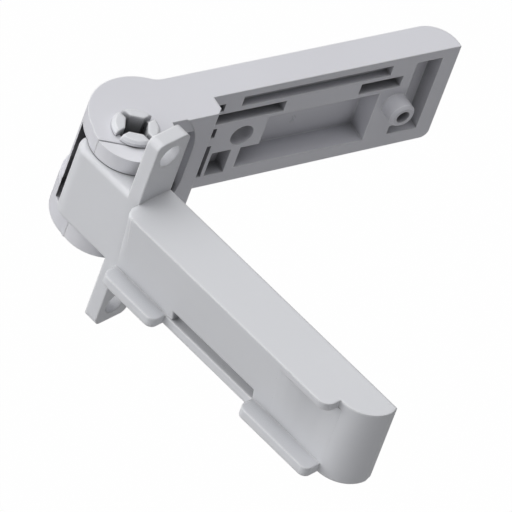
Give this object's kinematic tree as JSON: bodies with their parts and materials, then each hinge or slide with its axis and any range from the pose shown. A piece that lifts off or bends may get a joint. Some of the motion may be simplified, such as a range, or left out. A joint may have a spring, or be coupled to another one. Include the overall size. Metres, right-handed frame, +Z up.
{
  "type": "freezer door hinge",
  "caption": "Moulded freezer door hinge: a hollow cabinet bracket with screw ears and a split pivot collar, and a recessed door arm with a forked knuckle that swings on it.",
  "frame": {"origin": "on the hinge axis at mid-height of the pivot bore", "axes": "+Z up along the hinge axis, +X along the cabinet bracket away from the pivot, +Y towards the bracket's open back"},
  "size_m": [0.1193, 0.117, 0.0646],
  "materials": {
    "bracket_plastic": "satin light grey moulded plastic",
    "arm_plastic": "satin light grey moulded plastic",
    "insert_plastic": "satin pale grey moulded plastic"
  },
  "bodies": {
    "frame": {"frame_bracket": "bracket_plastic"},
    "door": {"door_arm": "arm_plastic", "upper_knuckle_insert": "insert_plastic", "lower_knuckle_insert": "insert_plastic"}
  },
  "joints": [
    {"name": "door_swing", "type": "hinge", "parent": "frame", "child": "door", "pos_m": [0, 0, 0], "axis": [0, 0, 1], "range_deg": [-75.8, 14.2]}
  ]
}
